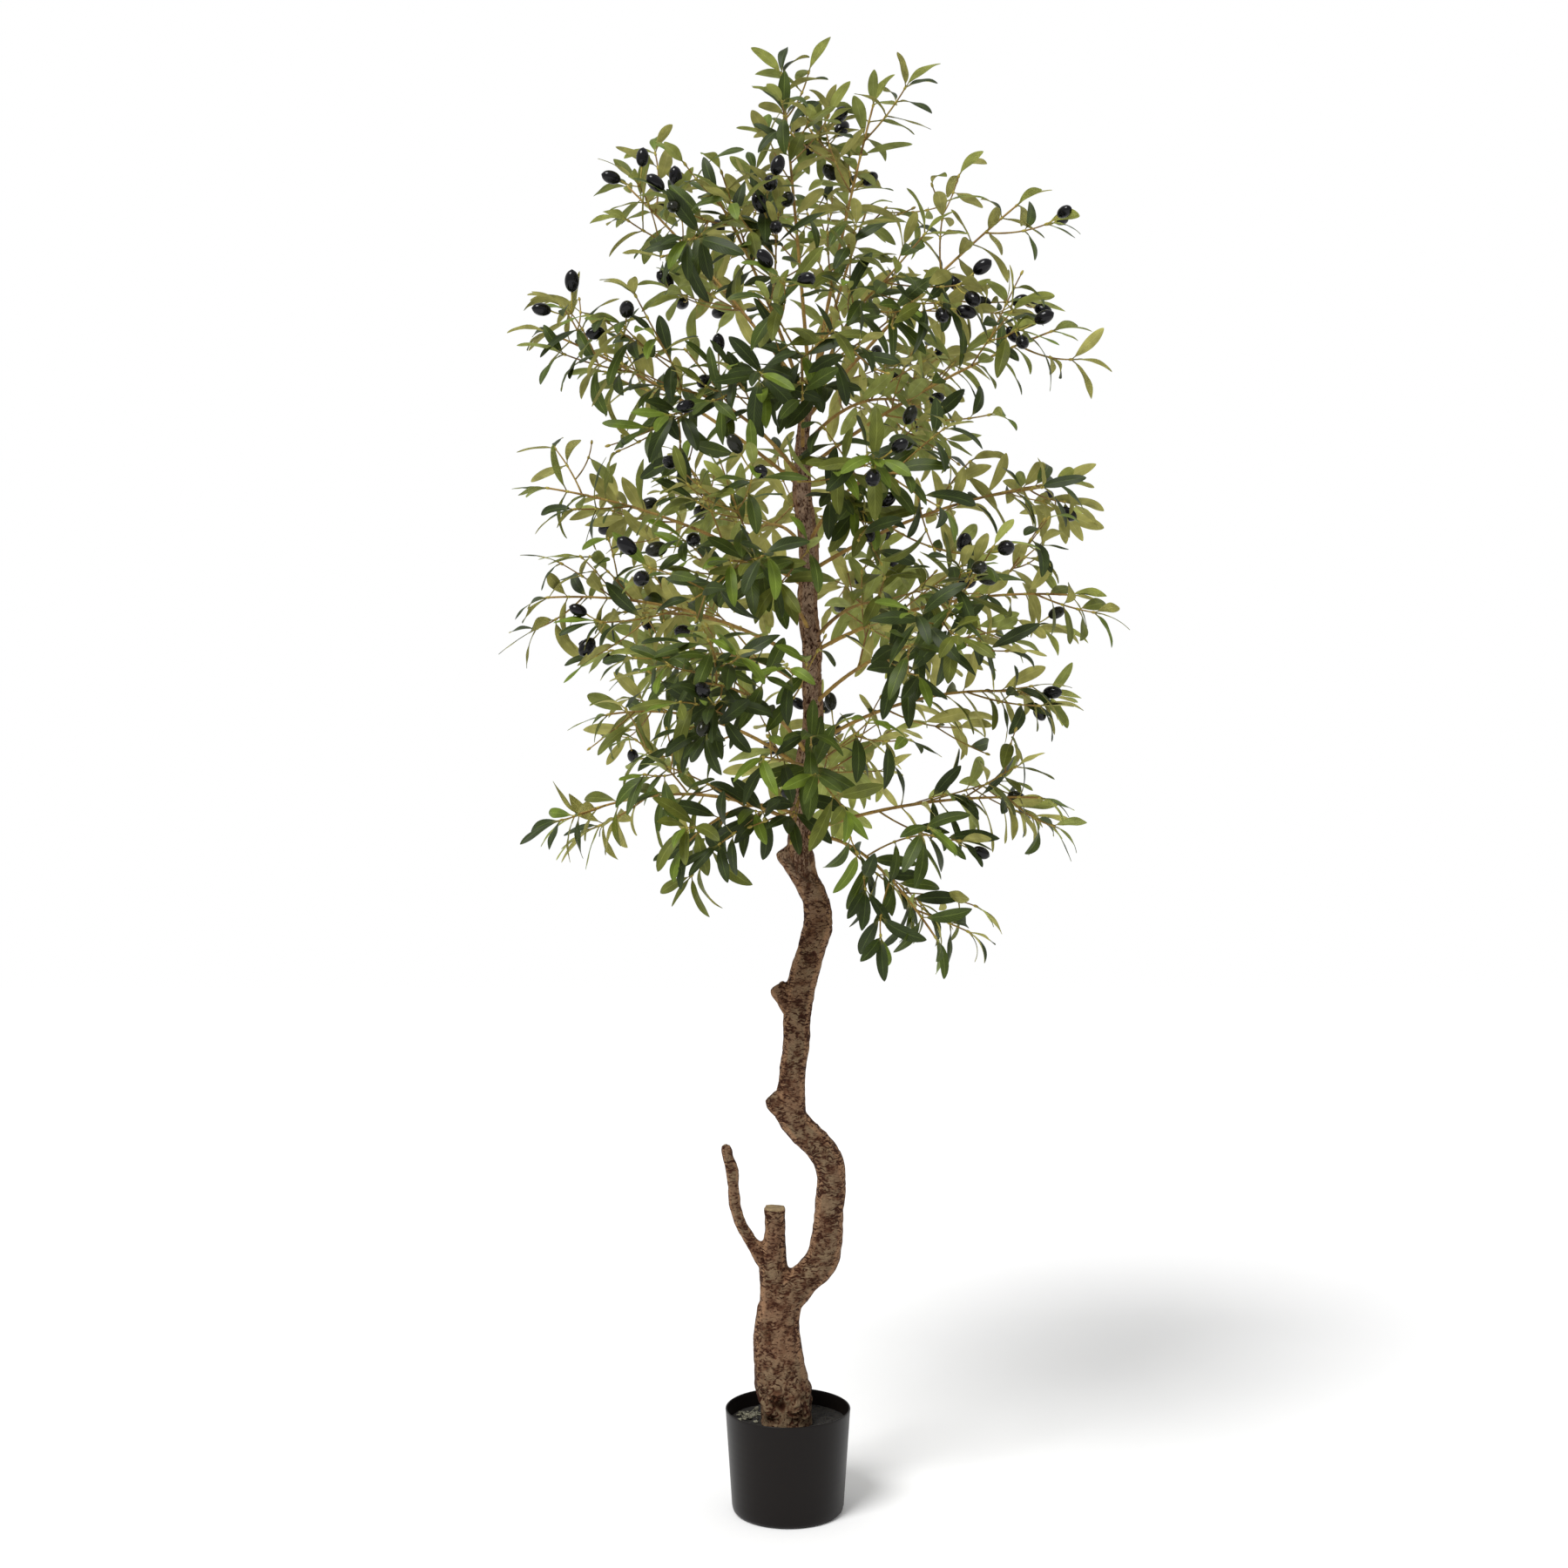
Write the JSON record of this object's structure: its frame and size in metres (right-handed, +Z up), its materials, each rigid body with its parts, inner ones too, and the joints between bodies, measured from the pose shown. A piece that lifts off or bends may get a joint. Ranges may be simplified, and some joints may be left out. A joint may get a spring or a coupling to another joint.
{
  "type": "artificial olive tree in a pot",
  "caption": "Artificial olive tree: a bent moulded trunk with a cut limb and a side limb, leafy wire boughs with olives, in a small weighted nursery pot that stands on the floor.",
  "frame": {"origin": "the middle of the pot's flat underside, on the floor", "axes": "+Z up along the height, -Y towards the side seen in the picture, +X to that side's right"},
  "size_m": [0.7608, 0.6827, 1.78],
  "materials": {
    "pot": "satin",
    "filling": "rough",
    "bark": "rough",
    "wire": "matte",
    "foliage": "satin"
  },
  "bodies": {
    "root": {"pot": "pot", "filling": "filling", "trunk": "bark", "cut_limb": "bark", "side_limb": "bark", "bough_01": "wire", "foliage_01": "foliage", "bough_02": "wire", "foliage_02": "foliage", "bough_03": "wire", "foliage_03": "foliage", "bough_04": "wire", "foliage_04": "foliage", "bough_05": "wire", "foliage_05": "foliage", "bough_06": "wire", "foliage_06": "foliage", "bough_07": "wire", "foliage_07": "foliage", "bough_08": "wire", "foliage_08": "foliage", "bough_09": "wire", "foliage_09": "foliage", "bough_10": "wire", "foliage_10": "foliage", "bough_11": "wire", "foliage_11": "foliage", "bough_12": "wire", "foliage_12": "foliage", "bough_13": "wire", "foliage_13": "foliage", "bough_14": "wire", "foliage_14": "foliage", "bough_15": "wire", "foliage_15": "foliage", "bough_16": "wire", "foliage_16": "foliage", "bough_17": "wire", "foliage_17": "foliage", "bough_18": "wire", "foliage_18": "foliage", "bough_19": "wire", "foliage_19": "foliage", "bough_20": "wire", "foliage_20": "foliage", "bough_21": "wire", "foliage_21": "foliage", "bough_22": "wire", "foliage_22": "foliage", "bough_23": "wire", "foliage_23": "foliage", "bough_24": "wire", "foliage_24": "foliage", "foliage_25": "foliage", "foliage_26": "foliage", "foliage_27": "foliage", "foliage_28": "foliage", "foliage_29": "foliage", "foliage_30": "foliage", "foliage_31": "foliage"}
  },
  "joints": []
}
